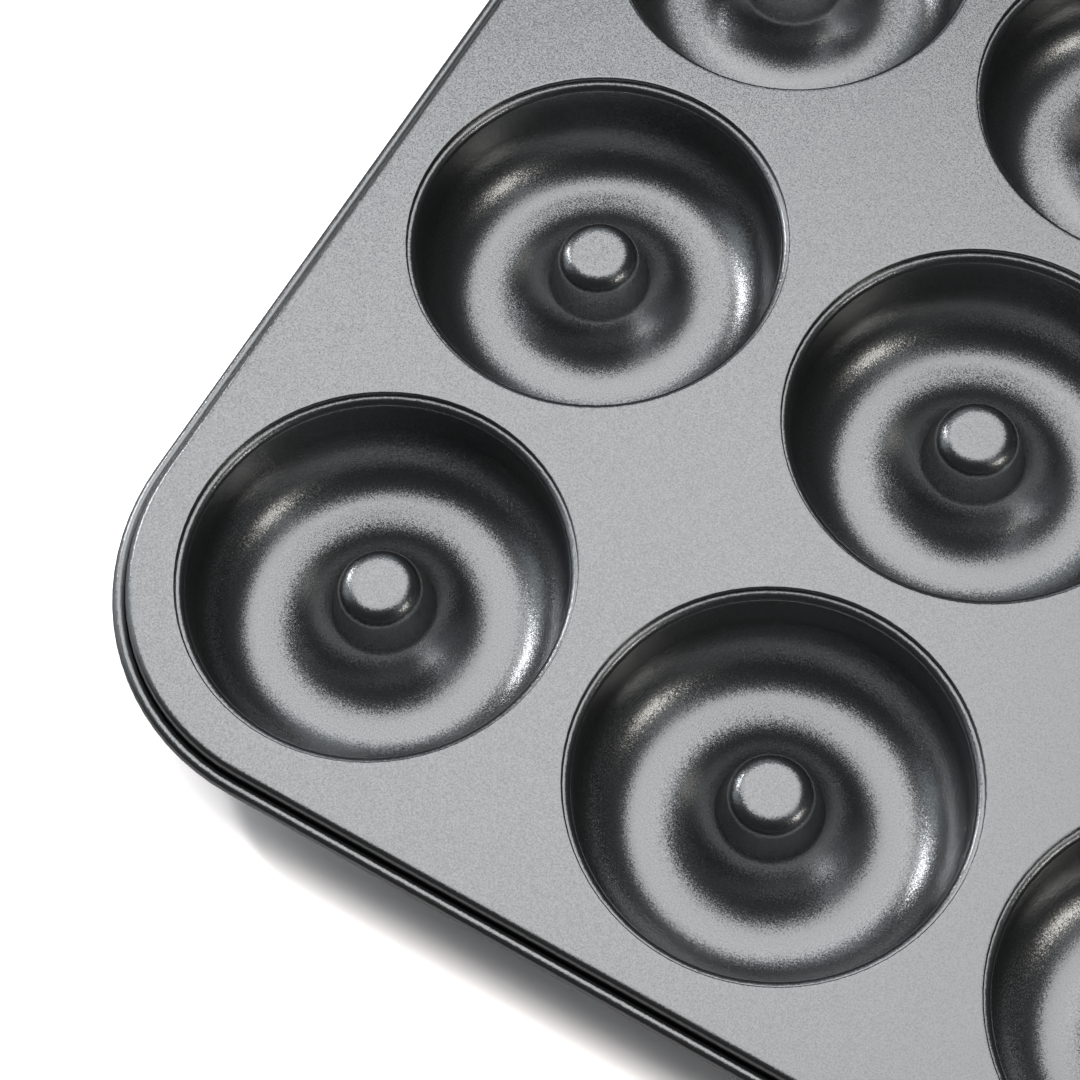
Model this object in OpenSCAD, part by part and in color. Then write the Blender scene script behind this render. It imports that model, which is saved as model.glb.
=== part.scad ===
// Savarin pan: twelve ring cups pressed into one sheet, with a curled edge all round.
// Sizes are in millimetres. The pan stands on the flat rings under its cups, at z = 0,
// with its long side along X and the middle of its outline on the Z axis.

/* [Sheet] */
// Thickness of the pressed steel sheet
sheet_t = 0.6; // [0.4:0.05:0.8]

/* [Cup grid] */
// Cups along the long side
cups_x = 4; // [1:1:6]
// Cups along the short side
cups_y = 3; // [1:1:5]
// Distance between cup centres along the long side
pitch_x = 84; // [80:0.5:110]
// Distance between cup centres along the short side
pitch_y = 83; // [80:0.5:110]

/* [Cup mouth] */
// Radius at which the flat plate ends and the mouth begins
mouth_r = 38.1; // [36:0.1:39.5]
// Radius that turns the plate down into the step round the mouth
rim_r = 0.3; // [0.2:0.05:0.4]
// Depth of the step round the mouth
lip_step = 1.3; // [0.5:0.05:1.6]
// Radius of the hollow at the foot of the step
seat_r = 0.1; // [0.05:0.05:0.2]
// Width of the level ledge inside the step
ledge_w = 0.05; // [0.05:0.05:1.2]
// Radius that turns the ledge down into the cup wall
lip_r = 1.4; // [0.85:0.05:1.8]
// Lean of the cup wall from the vertical, in degrees
wall_draft = 2; // [0:0.5:6]

/* [Ring channel] */
// Depth of the channel below the plate
cup_depth = 23; // [20:0.25:28]
// Radius of the circle along the bottom of the channel
ring_r = 23.2; // [22:0.1:24.5]
// Width of the level band along the bottom, which the pan rests on
land_w = 1.6; // [0.6:0.1:3]

/* [Centre post] */
// Depth of the top of the post below the plate
post_drop = 5.5; // [3:0.25:8]
// Radius of the flat on top of the post
post_top_r = 4.6; // [4.2:0.1:6.5]
// Radius of the rounding between the top and the side of the post
post_edge_r = 3.7; // [1.5:0.1:4]
// Lean of the side of the post from the vertical, in degrees
post_draft = 14; // [10:0.5:17]
// Depth below the plate at which the post meets the channel
foot_drop = 16; // [15:0.25:17.5]
// Radius of the fillet at the foot of the post
foot_r = 4; // [1:0.25:4.5]

/* [Curled edge] */
// Distance from the centres of the outer cups to the outside of the edge
edge_reach = 49.7; // [47:0.1:60]
// Radius of the pan's outline at its corners
corner_r = 48.5; // [30:0.1:50]
// Radius that turns the plate down into the skirt
brim_r = 1.3; // [0.9:0.05:2]
// Outside diameter of the curl
curl_d = 2.7; // [2.4:0.05:4]
// Depth of the middle of the curl below the plate
curl_drop = 3.6; // [3.4:0.05:6]
// Open gap between the skirt and the curl
curl_gap = 0.25; // [0.2:0.05:1]
// Inside radius of the bend from the skirt out to the curl
curl_bend_r = 0.3; // [0.2:0.05:0.4]
// Angle that the curl goes round, from its lowest point
curl_turn = 285; // [240:1:290]

/* [Hidden] */
$fn = 96;

// Height of the plate's top over the surface that the pan stands on
plate_z = cup_depth + sheet_t;

// A hair by which round stretches overlap the straight ones, so that they cross and leave no sliver
hair = 0.001;

// Centres and radii of the cup's section, with x out from the cup's axis and y up from the plate's top
post_edge_c = [post_top_r, -post_drop - post_edge_r];
side_out = [cos(post_draft), sin(post_draft)];
side_down = [sin(post_draft), -cos(post_draft)];
inner_x = ring_r - land_w / 2;

// The foot lies this far below the place where the channel's arc would run smoothly into the post's
// side, or further, so that the two always meet in a corner that the fillet rounds
foot_room = 1;
smooth_arc_r = (side_out * ([inner_x, -cup_depth] - post_edge_c) - post_edge_r) / (1 - side_out.y);
smooth_drop = cup_depth - smooth_arc_r * (1 - side_out.y);
foot_depth = max(foot_drop, smooth_drop + foot_room);

foot_side_x = (side_out * post_edge_c + post_edge_r + foot_depth * side_out.y) / side_out.x;
foot_run = inner_x - foot_side_x;
foot_rise = cup_depth - foot_depth;
inner_arc_r = (foot_run * foot_run + foot_rise * foot_rise) / (2 * foot_rise);
inner_arc_c = [inner_x, inner_arc_r - cup_depth];
foot_off = side_out * (inner_arc_c - post_edge_c) - post_edge_r - foot_r;
foot_c = inner_arc_c - foot_off * side_out
    + sqrt(pow(inner_arc_r - foot_r, 2) - foot_off * foot_off) * side_down;
foot_angle = 360 + atan2(foot_c.y - inner_arc_c.y, foot_c.x - inner_arc_c.x);

step_x = mouth_r - rim_r;
step_back_x = step_x + sheet_t;
ledge_x = step_x - seat_r;
lip_c = [ledge_x - ledge_w, -lip_step - lip_r];
wall_out = [cos(wall_draft), -sin(wall_draft)];
wall_up = [sin(wall_draft), cos(wall_draft)];
outer_x = ring_r + land_w / 2;
outer_arc_r = (wall_out * (lip_c - [outer_x, -cup_depth]) - lip_r) / (1 - sin(wall_draft));
outer_arc_c = [outer_x, outer_arc_r - cup_depth];

// The edge's section, with x out from the centres of the outer cups and y up from the plate's top
curl_r = curl_d / 2;
curl_c = [edge_reach - curl_r, -curl_drop];
skirt_x = edge_reach - curl_d - curl_gap;
brim_x = skirt_x - brim_r;
curl_floor = -curl_drop - curl_r;
curl_bend_c = [skirt_x + curl_bend_r, curl_floor + sheet_t + curl_bend_r];

// The outline's corner arcs share their centres with the corners of this rectangle
corner_in = edge_reach - corner_r;
half_x = (cups_x - 1) * pitch_x / 2 + corner_in;
half_y = (cups_y - 1) * pitch_y / 2 + corner_in;
plate_corner_r = brim_x - corner_in;

function polar(r, angle) = r * [cos(angle), sin(angle)];

// Sector of a disc that reaches past r, for angles up to 180 degrees
module sector(r, from, to) {
    reach = 1.5 * r;
    polygon([[0, 0], polar(reach, from), polar(reach, (from + to) / 2), polar(reach, to)]);
}

// Bent sheet whose visible face has radius r, with the metal outside that face or inside it
module bend(centre, r, metal, from, to) {
    outer = max(r, r + metal);
    translate(centre)
        intersection() {
            difference() {
                circle(outer);
                circle(min(r, r + metal));
            }
            sector(outer, from, to);
        }
}

// Straight sheet whose visible face runs from a to b, with the metal on the side that back points to
module straight(a, b, back) {
    polygon([a, b, b + sheet_t * back, a + sheet_t * back]);
}

// The next modules draw the space over the sheet in half a section of a cup. With g = 0 it ends at
// the sheet's upper face, and with g = sheet_t at its lower face.

// Ring channel with its level bottom
module channel_space(g) {
    half_w = max(ring_r, mouth_r - ring_r);
    intersection() {
        union() {
            intersection() {
                translate(inner_arc_c)
                    circle(inner_arc_r + g + hair);
                translate([ring_r - half_w, -2 * cup_depth])
                    square([half_w, 2 * cup_depth]);
            }
            intersection() {
                translate(outer_arc_c)
                    circle(outer_arc_r + g + hair);
                translate([ring_r, -2 * cup_depth])
                    square([half_w, 2 * cup_depth]);
            }
            translate([inner_x, -cup_depth - g])
                square([land_w, cup_depth]);
        }
        translate([0, -cup_depth - g])
            square([mouth_r, 2 * cup_depth]);
    }
}

// Straight wall, rounded lip, ledge, and the step up to the plate. Behind the rim the sheet keeps
// a square corner, because the rim's rounding is tighter than the sheet is thick.
module mouth_space(g) {
    wall_foot = outer_arc_c + (outer_arc_r + g) * wall_out;
    wall_head = lip_c - (lip_r - g) * wall_out + 2 * lip_r * wall_up;
    polygon([[0, outer_arc_c.y], wall_foot, wall_head, [0, wall_head.y]]);
    translate(lip_c)
        difference() {
            sector(lip_r - g, 90, 180 - wall_draft);
            circle(lip_r - g + hair);
        }
    translate([0, -lip_step - g])
        square([ledge_x, 2 * lip_step + g]);
    translate([ledge_x, seat_r - lip_step])
        circle(seat_r + g + hair);
    translate([0, seat_r - lip_step])
        square([step_x + g, 2 * lip_step]);
    difference() {
        translate([0, -rim_r])
            square([mouth_r, 2 * rim_r]);
        translate([mouth_r, -rim_r])
            circle(rim_r + hair);
    }
}

// Outline of the centre post
module post_shape(g) {
    head = post_edge_c + (post_edge_r - g) * side_out;
    toe = head + cup_depth * side_down;
    polygon([[0, -post_drop - g], [post_top_r, -post_drop - g], head, toe, [0, toe.y]]);
    translate(post_edge_c)
        circle(post_edge_r - g + hair);
}

module cup_space(g) {
    difference() {
        union() {
            channel_space(g);
            mouth_space(g);
        }
        post_shape(g);
        translate(foot_c)
            sector(foot_r + g, 180 + post_draft, foot_angle);
    }
    translate(foot_c)
        circle(foot_r + g + 2 * hair);
    translate([0, -post_drop - g])
        square([post_edge_c.x + post_edge_r, post_drop]);
}

module cup_section() {
    difference() {
        intersection() {
            cup_space(sheet_t);
            translate([0, -cup_depth - sheet_t])
                square([step_back_x, cup_depth + sheet_t]);
        }
        cup_space(0);
    }
}

module cup() {
    rotate_extrude()
        cup_section();
}

// Section of the brim, the skirt and the curl
module edge_section() {
    bend([brim_x, -brim_r], brim_r, -sheet_t, 0, 90);
    straight([skirt_x, curl_bend_c.y], [skirt_x, -brim_r], [-1, 0]);
    bend(curl_bend_c, curl_bend_r, sheet_t, 180, 270);
    translate([curl_bend_c.x, curl_floor])
        square([curl_c.x - curl_bend_c.x, sheet_t]);
    translate(curl_c)
        difference() {
            circle(curl_r);
            circle(curl_r - sheet_t);
            sector(curl_r, curl_turn - 90, 270);
        }
}

module edge_run(length) {
    rotate([90, 0, 0])
        linear_extrude(length, center = true)
            translate([-corner_in, 0])
                edge_section();
}

module edge_corner() {
    rotate_extrude(angle = 90)
        translate([-corner_in, 0])
            edge_section();
}

// Edge all round: a straight run and a corner on each of the four sides
module edge() {
    for (side = [0 : 3]) {
        reach = side % 2 == 0 ? half_x : half_y;
        across = side % 2 == 0 ? half_y : half_x;
        rotate(90 * side) {
            translate([reach, 0])
                edge_run(2 * across);
            translate([reach, across])
                edge_corner();
        }
    }
}

module plate_outline() {
    square([2 * half_x, 2 * (half_y + plate_corner_r)], center = true);
    square([2 * (half_x + plate_corner_r), 2 * half_y], center = true);
    for (x = [-half_x, half_x], y = [-half_y, half_y])
        translate([x, y])
            circle(plate_corner_r);
}

module at_cups() {
    for (i = [0 : cups_x - 1], j = [0 : cups_y - 1])
        translate([(i - (cups_x - 1) / 2) * pitch_x, (j - (cups_y - 1) / 2) * pitch_y])
            children();
}

// Flat plate between the mouths and the brim
module plate() {
    translate([0, 0, -sheet_t])
        linear_extrude(sheet_t)
            difference() {
                plate_outline();
                at_cups()
                    circle(mouth_r);
            }
}

module pan() {
    color("dimgray")
        translate([0, 0, plate_z]) {
            plate();
            at_cups()
                cup();
            edge();
        }
}

pan();
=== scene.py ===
from math import atan2, cos, degrees, pi, radians, sin, sqrt
import bmesh
import bpy
from mathutils import Matrix, Quaternion, Vector


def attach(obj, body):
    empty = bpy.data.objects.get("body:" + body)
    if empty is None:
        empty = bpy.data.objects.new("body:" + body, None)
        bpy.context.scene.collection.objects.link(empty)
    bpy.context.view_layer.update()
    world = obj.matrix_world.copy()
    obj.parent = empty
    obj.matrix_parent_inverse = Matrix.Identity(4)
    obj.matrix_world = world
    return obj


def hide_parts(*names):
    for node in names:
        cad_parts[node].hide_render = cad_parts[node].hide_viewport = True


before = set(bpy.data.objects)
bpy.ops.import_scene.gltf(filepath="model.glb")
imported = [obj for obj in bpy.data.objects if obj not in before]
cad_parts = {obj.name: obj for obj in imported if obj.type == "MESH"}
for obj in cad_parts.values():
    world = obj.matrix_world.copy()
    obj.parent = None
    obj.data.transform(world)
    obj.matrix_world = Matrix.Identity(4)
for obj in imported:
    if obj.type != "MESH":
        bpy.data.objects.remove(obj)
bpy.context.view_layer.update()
print("frame loaded")

mm = 0.001

# the pan: one pressed sheet
# sizes in millimetres and degrees, the same values as in the part's source; x counts from a
# cup's axis and z from the top of the plate
pan = {
    "thickness": 0.6,
    "cupsX": 4,
    "cupsY": 3,
    "pitchX": 84,
    "pitchY": 83,
    "mouthR": 38.1,
    "rimR": 0.3,
    "lipStep": 1.3,
    "seatR": 0.1,
    "ledgeWidth": 0.05,
    "lipR": 1.4,
    "wallDraft": 2,
    "cupDepth": 23,
    "ringR": 23.2,
    "landWidth": 1.6,
    "postDrop": 5.5,
    "postTopR": 4.6,
    "postEdgeR": 3.7,
    "postDraft": 14,
    "footDrop": 16,
    "footR": 4,
    "edgeReach": 49.7,
    "cornerR": 48.5,
    "brimR": 1.3,
    "curlD": 2.7,
    "curlDrop": 3.6,
    "curlGap": 0.25,
    "curlBendR": 0.3,
    "curlTurn": 285,
    # faces along each bend of the sections, and round a cup and a corner of the edge
    "faces": {"postEdge": 8, "foot": 3, "inner": 10, "outer": 16, "lip": 8, "seat": 4, "rim": 4,
              "brim": 6, "curlBend": 4, "curl": 20, "cup": 72, "corner": 20},
    "margin": 0.4,       # narrow flat loops that keep the plate's shading flat beside a bend
    "support": 0.3,      # the same beside the ends of a straight
    "sharpAngle": 50,    # an edge that bends more than this is shaded sharp
    "weld": 0.001,       # points closer than this are joined
    "level": 0.01,       # a point this close to a height lies at it
}


def vertsOf(parts):
    return [part for part in parts if isinstance(part, bmesh.types.BMVert)]


def edgesOf(parts):
    return [part for part in parts if isinstance(part, bmesh.types.BMEdge)]


def weld(bm):
    bmesh.ops.remove_doubles(bm, verts=bm.verts[:], dist=pan["weld"] * mm)


# a section is drawn like a pen stroke in the XZ plane: straight to a point, or round a centre
def strokeTo(bm, tip, x, z):
    tip = bmesh.ops.extrude_vert_indiv(bm, verts=[tip])["verts"][0]
    tip.co = (x * mm, 0, z * mm)
    return tip


def strokeAlong(bm, tip, x, z, startMargin, endMargin):
    # straight, with a support point a little in from each end; a start margin of 0 leaves the first out
    start = Vector((tip.co.x / mm, tip.co.z / mm))
    end = Vector((x, z))
    step = (end - start).normalized()
    if startMargin:
        tip = strokeTo(bm, tip, *(start + startMargin * step))
    tip = strokeTo(bm, tip, *(end - endMargin * step))
    return strokeTo(bm, tip, x, z)


def strokeRound(bm, tip, centre, turn, steps):
    made = bmesh.ops.spin(bm, geom=[tip], cent=(centre[0] * mm, 0, centre[1] * mm), axis=(0, -1, 0),
                          angle=radians(turn), steps=steps, use_duplicate=False)
    return vertsOf(made["geom_last"])[0]


def cupFace(bm, under):
    # one face of a cup's half section, from the axis out to the plate: the food side, or, with the
    # sheet's thickness as under, the side below it, whose bends share the same centres
    p = pan
    draft, lean = radians(p["postDraft"]), radians(p["wallDraft"])
    sideOut, sideDown = Vector((cos(draft), sin(draft))), Vector((sin(draft), -cos(draft)))
    postEdge = Vector((p["postTopR"], -p["postDrop"] - p["postEdgeR"]))
    footSideX = (sideOut.dot(postEdge) + p["postEdgeR"] + p["footDrop"] * sideOut.y) / sideOut.x
    innerX = p["ringR"] - p["landWidth"] / 2
    run, rise = innerX - footSideX, p["cupDepth"] - p["footDrop"]
    innerR = (run * run + rise * rise) / (2 * rise)
    inner = Vector((innerX, innerR - p["cupDepth"]))
    footOff = sideOut.dot(inner - postEdge) - p["postEdgeR"] - p["footR"]
    foot = inner - footOff * sideOut + sqrt((innerR - p["footR"]) ** 2 - footOff ** 2) * sideDown
    footAngle = 360 + degrees(atan2(foot.y - inner.y, foot.x - inner.x))
    wallOut = Vector((cos(lean), -sin(lean)))
    ledgeX = p["mouthR"] - p["rimR"] - p["seatR"]
    lip = Vector((ledgeX - p["ledgeWidth"], -p["lipStep"] - p["lipR"]))
    outerX = p["ringR"] + p["landWidth"] / 2
    outerR = (wallOut.dot(lip - Vector((outerX, -p["cupDepth"]))) - p["lipR"]) / (1 - sin(lean))
    outer = Vector((outerX, outerR - p["cupDepth"]))

    def bend(tip, name, centre, turn):
        # the side below is hardly seen, so its bends have half the faces
        faces = max(2, p["faces"][name] // 2) if under else p["faces"][name]
        return strokeRound(bm, tip, centre, turn, faces)

    tip = bmesh.ops.create_vert(bm, co=(0, 0, (-p["postDrop"] - under) * mm))["vert"][0]
    tip = strokeAlong(bm, tip, p["postTopR"], -p["postDrop"] - under, 0, p["margin"])
    tip = bend(tip, "postEdge", postEdge, p["postDraft"] - 90)
    tip = strokeAlong(bm, tip, *(foot - (p["footR"] + under) * sideOut), p["support"], p["support"])
    tip = bend(tip, "foot", foot, footAngle - 180 - p["postDraft"])
    tip = bend(tip, "inner", inner, 270 - footAngle)
    tip = strokeTo(bm, tip, outerX, -p["cupDepth"] - under)
    tip = bend(tip, "outer", outer, 90 - p["wallDraft"])
    tip = strokeAlong(bm, tip, *(lip - (p["lipR"] - under) * wallOut), p["support"], p["support"])
    tip = bend(tip, "lip", lip, p["wallDraft"] - 90)
    tip = strokeTo(bm, tip, ledgeX, -p["lipStep"] - under)
    tip = bend(tip, "seat", (ledgeX, p["seatR"] - p["lipStep"]), 90)
    stepX = ledgeX + p["seatR"] + under
    if under:     # behind the rim the sheet keeps a square corner
        tip = strokeTo(bm, tip, stepX, -under)
        strokeTo(bm, tip, stepX + p["margin"], -under)
    else:
        tip = strokeTo(bm, tip, stepX, -p["rimR"])
        tip = bend(tip, "rim", (p["mouthR"], -p["rimR"]), -90)
        strokeTo(bm, tip, p["mouthR"] + p["margin"], 0)


def edgeFace(bm, under, shift):
    # one face of the edge's section, from the plate round the brim, down the skirt and along
    # the curl to its free end, which it returns
    p = pan
    faces = p["faces"]
    skirtX = p["edgeReach"] - p["curlD"] - p["curlGap"]
    brim = (skirtX - p["brimR"] + shift, -p["brimR"])
    curlR = p["curlD"] / 2
    curl = (p["edgeReach"] - curlR + shift, -p["curlDrop"])
    topZ = -p["curlDrop"] - curlR + p["thickness"]     # the upper face of the sheet, at the curl's floor
    curlBend = (skirtX + p["curlBendR"] + shift, topZ + p["curlBendR"])
    tip = bmesh.ops.create_vert(bm, co=((brim[0] - p["margin"]) * mm, 0, -under * mm))["vert"][0]
    tip = strokeTo(bm, tip, brim[0], -under)
    tip = strokeRound(bm, tip, brim, -90, faces["brim"])
    tip = strokeAlong(bm, tip, skirtX - under + shift, curlBend[1], p["support"], p["support"])
    tip = strokeRound(bm, tip, curlBend, 90, faces["curlBend"])
    tip = strokeTo(bm, tip, curl[0], topZ - under)
    return strokeRound(bm, tip, curl, p["curlTurn"], faces["curl"])


def cupMesh():
    bm = bmesh.new()
    for under in (0, pan["thickness"]):
        cupFace(bm, under)
    bmesh.ops.spin(bm, geom=bm.verts[:] + bm.edges[:], cent=(0, 0, 0), axis=(0, 0, 1),
                   angle=radians(360), steps=pan["faces"]["cup"], use_merge=True, use_duplicate=False)
    weld(bm)
    mesh = bpy.data.meshes.new("cupShape")
    bm.to_mesh(mesh)
    bm.free()
    return mesh


def sweepEdge(bm, halfX, halfY, cornerIn):
    # the section is drawn from the corner's centre, then goes up the right-hand side, round
    # each corner and back to its start
    ends = [edgeFace(bm, under, -cornerIn) for under in (0, pan["thickness"])]
    bmesh.ops.contextual_create(bm, geom=ends)
    section = bm.verts[:] + bm.edges[:]
    bmesh.ops.translate(bm, verts=bm.verts[:], vec=(halfX * mm, -halfY * mm, 0))
    legs = [(0, 2 * halfY), (-2 * halfX, 0), (0, -2 * halfY), (2 * halfX, 0)]
    corners = [(halfX, halfY), (-halfX, halfY), (-halfX, -halfY), (halfX, -halfY)]
    for (legX, legY), (cornerX, cornerY) in zip(legs, corners):
        made = bmesh.ops.extrude_edge_only(bm, edges=edgesOf(section))["geom"]
        moved = vertsOf(made)
        bmesh.ops.translate(bm, verts=moved, vec=(legX * mm, legY * mm, 0))
        section = moved + [edge for edge in edgesOf(made) if set(moved).issuperset(edge.verts)]
        turned = bmesh.ops.spin(bm, geom=section, cent=(cornerX * mm, cornerY * mm, 0), axis=(0, 0, 1),
                                angle=radians(90), steps=pan["faces"]["corner"], use_duplicate=False)
        section = turned["geom_last"]
    weld(bm)


def fillPlate(bm, z):
    # one face of the plate, between the outlines that the cups and the edge leave open at this height
    near = pan["level"] * mm
    rims = [edge for edge in bm.edges
            if edge.is_boundary and all(abs(vert.co.z - z * mm) < near for vert in edge.verts)]
    bmesh.ops.triangle_fill(bm, use_beauty=True, use_dissolve=False, edges=rims, normal=(0, 0, 1))


def buildPan():
    p = pan
    cornerIn = p["edgeReach"] - p["cornerR"]
    lastX = (p["cupsX"] - 1) * p["pitchX"] / 2
    lastY = (p["cupsY"] - 1) * p["pitchY"] / 2
    bm = bmesh.new()
    sweepEdge(bm, lastX + cornerIn, lastY + cornerIn, cornerIn)
    cup = cupMesh()
    for i in range(p["cupsX"]):
        for j in range(p["cupsY"]):
            x, y = i * p["pitchX"] - lastX, j * p["pitchY"] - lastY
            placed = cup.copy()
            placed.transform(Matrix.Translation((x * mm, y * mm, 0)))
            bm.from_mesh(placed)
            bpy.data.meshes.remove(placed)
    bpy.data.meshes.remove(cup)
    for z in (0, -p["thickness"]):
        fillPlate(bm, z)
    weld(bm)
    bmesh.ops.translate(bm, verts=bm.verts[:], vec=(0, 0, (p["cupDepth"] + p["thickness"]) * mm))
    bmesh.ops.recalc_face_normals(bm, faces=bm.faces[:])
    for face in bm.faces:
        face.smooth = True
    for edge in bm.edges:
        if edge.is_manifold and edge.calc_face_angle() > radians(p["sharpAngle"]):
            edge.smooth = False
    openEdges = sum(not edge.is_manifold for edge in bm.edges)
    triangles = sum(len(face.verts) - 2 for face in bm.faces)
    volume = round(bm.calc_volume(signed=True) / mm ** 3)
    print("pan sheet:", triangles, "triangles,", openEdges, "open edges, volume", volume, "cubic mm")
    mesh = bpy.data.meshes.new("panSheet")
    bm.to_mesh(mesh)
    bm.free()
    piece = bpy.data.objects.new("panSheet", mesh)
    bpy.context.scene.collection.objects.link(piece)
    return piece


# the non-stick coating
coating = {
    "colour": (0.304, 0.308, 0.312),
    "metal": 0.97,
    "roughness": 0.28,
    "flake": 0.00030,             # metres across one fleck of the grain
    "flakeDetail": 1,
    "flakeRange": (0.25, 0.75),   # nearly all of the noise's values lie between these
    "flakeTone": 0.21,            # how much lighter or darker a fleck is
    "flakeTilt": 0.33,            # how far the flecks lean out of the surface
}


def vectorMath(nodes, operation):
    node = nodes.new("ShaderNodeVectorMath")
    node.operation = operation
    return node


def coatingMaterial():
    c = coating
    material = bpy.data.materials.new("coating")
    material.use_nodes = True
    nodes, links = material.node_tree.nodes, material.node_tree.links
    shader = nodes["Principled BSDF"]
    shader.inputs["Metallic"].default_value = c["metal"]
    shader.inputs["Roughness"].default_value = c["roughness"]
    place = nodes.new("ShaderNodeTexCoord")
    grain = nodes.new("ShaderNodeTexNoise")
    grain.inputs["Scale"].default_value = 1 / c["flake"]
    grain.inputs["Detail"].default_value = c["flakeDetail"]
    links.new(place.outputs["Object"], grain.inputs["Vector"])

    # each fleck has its own tone
    low, high = c["flakeRange"]
    tone = nodes.new("ShaderNodeMapRange")
    tone.inputs["From Min"].default_value = low
    tone.inputs["From Max"].default_value = high
    tone.inputs["To Min"].default_value = 1 - c["flakeTone"]
    tone.inputs["To Max"].default_value = 1 + c["flakeTone"]
    links.new(grain.outputs["Fac"], tone.inputs["Value"])
    colour = vectorMath(nodes, "SCALE")
    colour.inputs[0].default_value = c["colour"]
    links.new(tone.outputs["Result"], colour.inputs["Scale"])
    links.new(colour.outputs["Vector"], shader.inputs["Base Color"])

    # and its own lean
    lean = vectorMath(nodes, "SUBTRACT")
    lean.inputs[1].default_value = [(low + high) / 2] * 3
    links.new(grain.outputs["Color"], lean.inputs[0])
    tilted = vectorMath(nodes, "MULTIPLY_ADD")
    tilted.inputs[1].default_value = [c["flakeTilt"]] * 3
    links.new(lean.outputs["Vector"], tilted.inputs[0])
    links.new(place.outputs["Normal"], tilted.inputs[2])
    facing = vectorMath(nodes, "NORMALIZE")
    links.new(tilted.outputs["Vector"], facing.inputs[0])
    links.new(facing.outputs["Vector"], shader.inputs["Normal"])
    return material


panSheet = buildPan()
panSheet.data.materials.append(coatingMaterial())
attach(panSheet, "root")
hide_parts("pan")
print("pan sheet placed")

# floor, surroundings and lamps
studio = {
    "floorColour": 0.80,
    "floorShown": 6.2,      # the floor's colour as the camera sees it, bright enough to turn white
    "floorTint": (1, 0.96, 0.945),
    "floorReach": 1.0,      # metres from the middle to each side
    "surroundings": (0.040, 0.042, 0.045),
    "target": (-0.085, -0.04, 0.02),
    # azimuth, angle from overhead and roll in degrees, distance and size in metres
    "lamps": {
        "overhead": {"azimuth": 121, "fromTop": 19, "distance": 2.4, "size": (2.0, 1.8), "roll": 0,
                     "radiance": 1.61, "colour": (1, 1, 1)},
        "leftKey": {"azimuth": 168, "fromTop": 55, "distance": 1.6, "size": (0.08, 0.22), "roll": 0,
                    "radiance": 44, "colour": (1, 1, 1)},
        "leftStrip": {"azimuth": 172, "fromTop": 50, "distance": 1.6, "size": (0.12, 1.0), "roll": 5,
                      "radiance": 2.8, "colour": (0.95, 0.975, 1)},
        "leftCard": {"azimuth": 184, "fromTop": 77, "distance": 1.6, "size": (1.2, 2.0), "roll": 0,
                     "radiance": 0.5, "colour": (0.84, 0.93, 1)},
        "farCard": {"azimuth": 126, "fromTop": 50, "distance": 1.6, "size": (0.8, 1.0), "roll": 0,
                    "radiance": 0.35, "colour": (0.84, 0.93, 1)},
        "warmSide": {"azimuth": 1, "fromTop": 57, "distance": 1.6, "size": (0.28, 0.42), "roll": -10,
                     "radiance": 5.2, "colour": (1, 0.96, 0.89)},
        "rightStrip": {"azimuth": 8, "fromTop": 32, "distance": 1.6, "size": (0.3, 0.9), "roll": -17,
                       "radiance": 0.55, "colour": (0.9, 0.95, 1)},
    },
}


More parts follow.
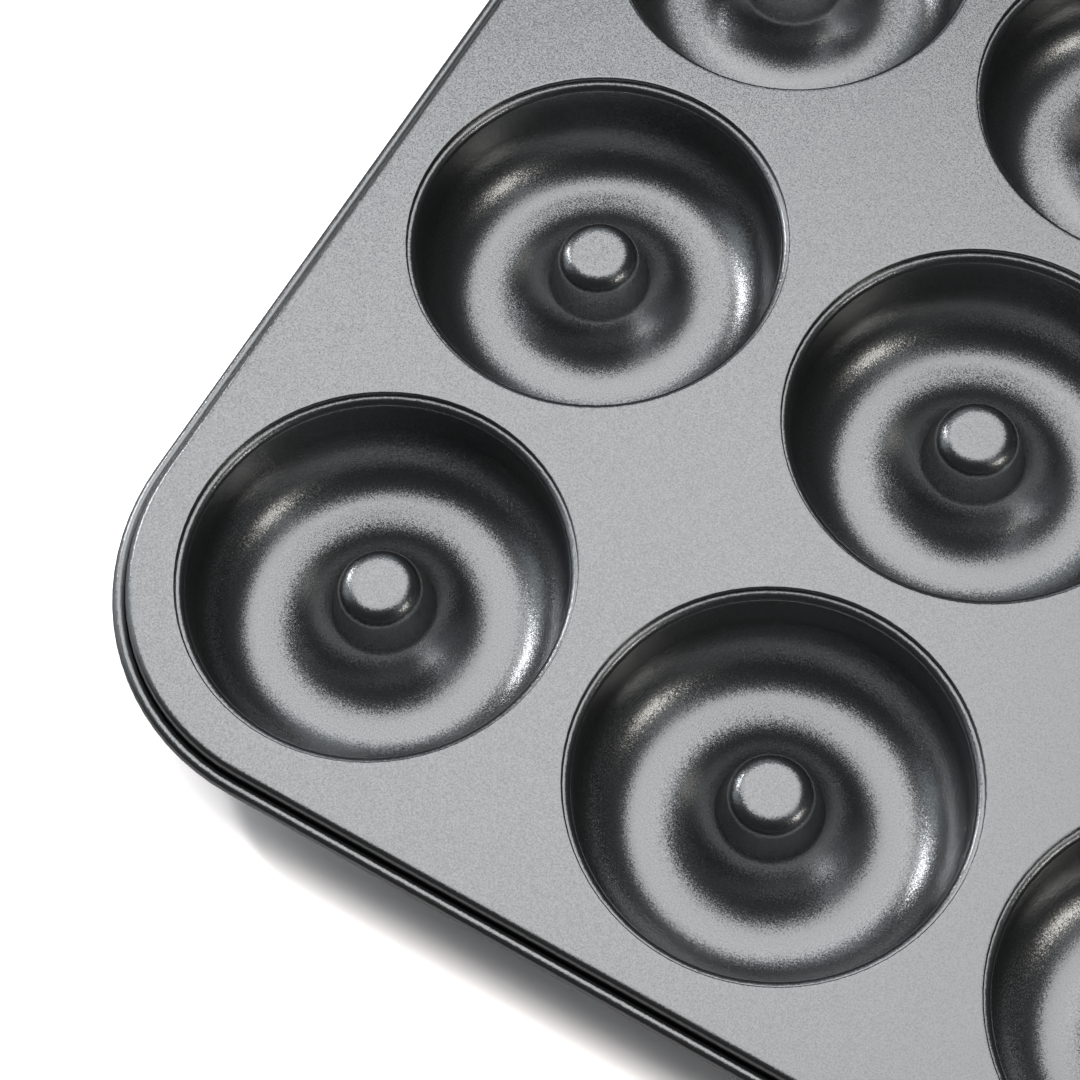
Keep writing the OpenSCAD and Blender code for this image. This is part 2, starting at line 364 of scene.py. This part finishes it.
def buildFloor():
    bm = bmesh.new()
    bmesh.ops.create_grid(bm, x_segments=1, y_segments=1, size=studio["floorReach"])
    mesh = bpy.data.meshes.new("floor")
    bm.to_mesh(mesh)
    bm.free()
    floor = bpy.data.objects.new("floor", mesh)
    bpy.context.scene.collection.objects.link(floor)
    material = bpy.data.materials.new("paper")
    material.use_nodes = True
    nodes, links = material.node_tree.nodes, material.node_tree.links
    nodes.clear()
    ray = nodes.new("ShaderNodeLightPath")
    shown = nodes.new("ShaderNodeMapRange")
    shown.inputs["To Min"].default_value = studio["floorColour"]
    shown.inputs["To Max"].default_value = studio["floorShown"]
    links.new(ray.outputs["Is Camera Ray"], shown.inputs["Value"])
    tinted = vectorMath(nodes, "SCALE")
    tinted.inputs[0].default_value = studio["floorTint"]
    links.new(shown.outputs["Result"], tinted.inputs["Scale"])
    diffuse = nodes.new("ShaderNodeBsdfDiffuse")
    links.new(tinted.outputs["Vector"], diffuse.inputs["Color"])
    out = nodes.new("ShaderNodeOutputMaterial")
    links.new(diffuse.outputs["BSDF"], out.inputs["Surface"])
    mesh.materials.append(material)
    return floor


def buildSurroundings():
    world = bpy.data.worlds.new("studio")
    bpy.context.scene.world = world
    world.use_nodes = True
    nodes, links = world.node_tree.nodes, world.node_tree.links
    ray = nodes.new("ShaderNodeLightPath")
    # white for the camera, dim for the pan's reflections and dark for the floor, which keeps its shadow
    seen = vectorMath(nodes, "MULTIPLY_ADD")
    seen.inputs[1].default_value = studio["surroundings"]
    links.new(ray.outputs["Is Glossy Ray"], seen.inputs[0])
    links.new(ray.outputs["Is Camera Ray"], seen.inputs[2])
    links.new(seen.outputs["Vector"], nodes["Background"].inputs["Color"])


def hangLamps():
    target = Vector(studio["target"])
    for name, lamp in studio["lamps"].items():
        light = bpy.data.lights.new(name, "AREA")
        light.shape = "RECTANGLE"
        width, length = lamp["size"]
        light.size, light.size_y = width, length
        light.energy = lamp["radiance"] * pi * width * length
        light.color = lamp["colour"]
        away, side = radians(lamp["fromTop"]), radians(lamp["azimuth"])
        way = Vector((sin(away) * cos(side), sin(away) * sin(side), cos(away)))
        roll = Quaternion((0, 0, 1), radians(lamp["roll"]))
        holder = bpy.data.objects.new(name, light)
        holder.location = target + lamp["distance"] * way
        holder.rotation_mode = "QUATERNION"
        holder.rotation_quaternion = way.to_track_quat("Z", "Y") @ roll
        bpy.context.scene.collection.objects.link(holder)


buildFloor()
buildSurroundings()
hangLamps()
print("studio set up")

# camera, where the photograph was taken from
view = {
    "place": (0.02304, -0.23571, 0.47676),
    "turn": (25.148, 2.571, 30.459),
    "lens": 89.26,
    "sensor": 36,
}


def placeCamera():
    lensData = bpy.data.cameras.new("camera")
    lensData.lens = view["lens"]
    lensData.sensor_width = view["sensor"]
    camera = bpy.data.objects.new("camera", lensData)
    camera.location = view["place"]
    camera.rotation_euler = [radians(angle) for angle in view["turn"]]
    bpy.context.scene.collection.objects.link(camera)
    bpy.context.scene.camera = camera


placeCamera()
bpy.context.scene.view_settings.view_transform = "Standard"
print("camera set")
